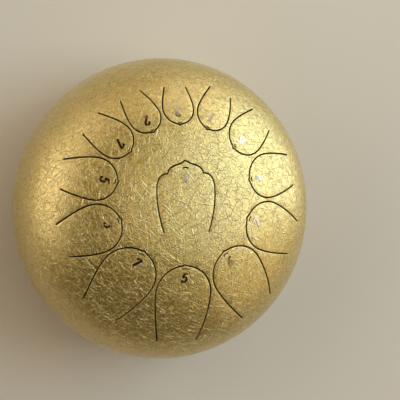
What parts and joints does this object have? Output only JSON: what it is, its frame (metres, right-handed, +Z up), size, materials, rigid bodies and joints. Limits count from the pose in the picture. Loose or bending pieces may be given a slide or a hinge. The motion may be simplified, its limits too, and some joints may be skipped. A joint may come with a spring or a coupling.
{
  "type": "tongue drum",
  "caption": "Lens-shaped steel drum with tuned tongues cut in its domed top, a lipped sound hole in its base and rubber feet.",
  "frame": {"origin": "on the ground under the drum's axis, level with the treads of the feet", "axes": "+Z up along the drum's axis, +Y towards the tip of the middle tongue and the shortest tongues"},
  "size_m": [0.305, 0.305, 0.162],
  "materials": {
    "gold_paint": "gold metallic crackle paint, satin",
    "mirror_foil": "mirror foil film",
    "rubber": "matt moulded rubber",
    "zinc_steel": "bright zinc plating"
  },
  "bodies": {
    "drum": {"upper_shell": "gold_paint", "lower_shell": "gold_paint", "foot_1": "rubber", "foot_washer_1": "zinc_steel", "foot_screw_1": "zinc_steel", "foot_nut_1": "zinc_steel", "foot_2": "rubber", "foot_washer_2": "zinc_steel", "foot_screw_2": "zinc_steel", "foot_nut_2": "zinc_steel", "foot_3": "rubber", "foot_washer_3": "zinc_steel", "foot_screw_3": "zinc_steel", "foot_nut_3": "zinc_steel", "foot_4": "rubber", "foot_washer_4": "zinc_steel", "foot_screw_4": "zinc_steel", "foot_nut_4": "zinc_steel"},
    "low5_tongue": {"tongue_low5": "gold_paint", "numeral_low5": "mirror_foil"},
    "low6_tongue": {"tongue_low6": "gold_paint", "numeral_low6": "mirror_foil"},
    "low7_tongue": {"tongue_low7": "gold_paint", "numeral_low7": "mirror_foil"},
    "mid1_tongue": {"tongue_mid1": "gold_paint", "numeral_mid1": "mirror_foil"},
    "mid2_tongue": {"tongue_mid2": "gold_paint", "numeral_mid2": "mirror_foil"},
    "mid3_tongue": {"tongue_mid3": "gold_paint", "numeral_mid3": "mirror_foil"},
    "mid4_tongue": {"tongue_mid4": "gold_paint", "numeral_mid4": "mirror_foil"},
    "mid5_tongue": {"tongue_mid5": "gold_paint", "numeral_mid5": "mirror_foil"},
    "mid6_tongue": {"tongue_mid6": "gold_paint", "numeral_mid6": "mirror_foil"},
    "mid7_tongue": {"tongue_mid7": "gold_paint", "numeral_mid7": "mirror_foil"},
    "high1_tongue": {"tongue_high1": "gold_paint", "numeral_high1": "mirror_foil"},
    "high2_tongue": {"tongue_high2": "gold_paint", "numeral_high2": "mirror_foil"},
    "high3_tongue": {"tongue_high3": "gold_paint", "numeral_high3": "mirror_foil"}
  },
  "joints": [
    {"name": "low5_flex", "type": "hinge", "parent": "drum", "child": "low5_tongue", "pos_m": [-0.00237, -0.12928, 0.13028], "axis": [-0.9999, 0.0122, 0], "range_deg": [-0.5, 0.5], "stiffness_Nm_per_rad": 211},
    {"name": "low6_flex", "type": "hinge", "parent": "drum", "child": "low6_tongue", "pos_m": [0.08233, -0.09848, 0.13105], "axis": [-0.7986, -0.6018, 0], "range_deg": [-0.5, 0.5], "stiffness_Nm_per_rad": 214},
    {"name": "low7_flex", "type": "hinge", "parent": "drum", "child": "low7_tongue", "pos_m": [-0.08144, -0.09464, 0.13376], "axis": [-0.8251, 0.565, 0], "range_deg": [-0.5, 0.5], "stiffness_Nm_per_rad": 227},
    {"name": "mid1_flex", "type": "hinge", "parent": "drum", "child": "mid1_tongue", "pos_m": [0, -0.02, 0.16085], "axis": [-1, 0, 0], "range_deg": [-0.5, 0.5], "stiffness_Nm_per_rad": 212},
    {"name": "mid2_flex", "type": "hinge", "parent": "drum", "child": "mid2_tongue", "pos_m": [0.12122, -0.03066, 0.13363], "axis": [-0.3698, -0.9291, 0], "range_deg": [-0.5, 0.5], "stiffness_Nm_per_rad": 201},
    {"name": "mid3_flex", "type": "hinge", "parent": "drum", "child": "mid3_tongue", "pos_m": [-0.11817, -0.02566, 0.13647], "axis": [-0.3453, 0.9385, 0], "range_deg": [-0.5, 0.5], "stiffness_Nm_per_rad": 187},
    {"name": "mid4_flex", "type": "hinge", "parent": "drum", "child": "mid4_tongue", "pos_m": [0.11956, 0.03783, 0.13336], "axis": [0.1599, -0.9871, 0], "range_deg": [-0.5, 0.5], "stiffness_Nm_per_rad": 163},
    {"name": "mid5_flex", "type": "hinge", "parent": "drum", "child": "mid5_tongue", "pos_m": [-0.11716, 0.03858, 0.13484], "axis": [0.1564, 0.9877, 0], "range_deg": [-0.5, 0.5], "stiffness_Nm_per_rad": 169},
    {"name": "mid6_flex", "type": "hinge", "parent": "drum", "child": "mid6_tongue", "pos_m": [0.08857, 0.08858, 0.13346], "axis": [0.5962, -0.8028, 0], "range_deg": [-0.5, 0.5], "stiffness_Nm_per_rad": 149},
    {"name": "mid7_flex", "type": "hinge", "parent": "drum", "child": "mid7_tongue", "pos_m": [-0.08796, 0.08723, 0.13446], "axis": [0.6212, 0.7837, 0], "range_deg": [-0.5, 0.5], "stiffness_Nm_per_rad": 161},
    {"name": "high1_flex", "type": "hinge", "parent": "drum", "child": "high1_tongue", "pos_m": [0.04584, 0.11629, 0.13365], "axis": [0.866, -0.5, 0], "range_deg": [-0.5, 0.5], "stiffness_Nm_per_rad": 140},
    {"name": "high2_flex", "type": "hinge", "parent": "drum", "child": "high2_tongue", "pos_m": [-0.04761, 0.11367, 0.13491], "axis": [0.891, 0.454, 0], "range_deg": [-0.5, 0.5], "stiffness_Nm_per_rad": 144},
    {"name": "high3_flex", "type": "hinge", "parent": "drum", "child": "high3_tongue", "pos_m": [-0.00216, 0.12155, 0.13605], "axis": [0.9999, -0.0122, 0], "range_deg": [-0.5, 0.5], "stiffness_Nm_per_rad": 135}
  ]
}
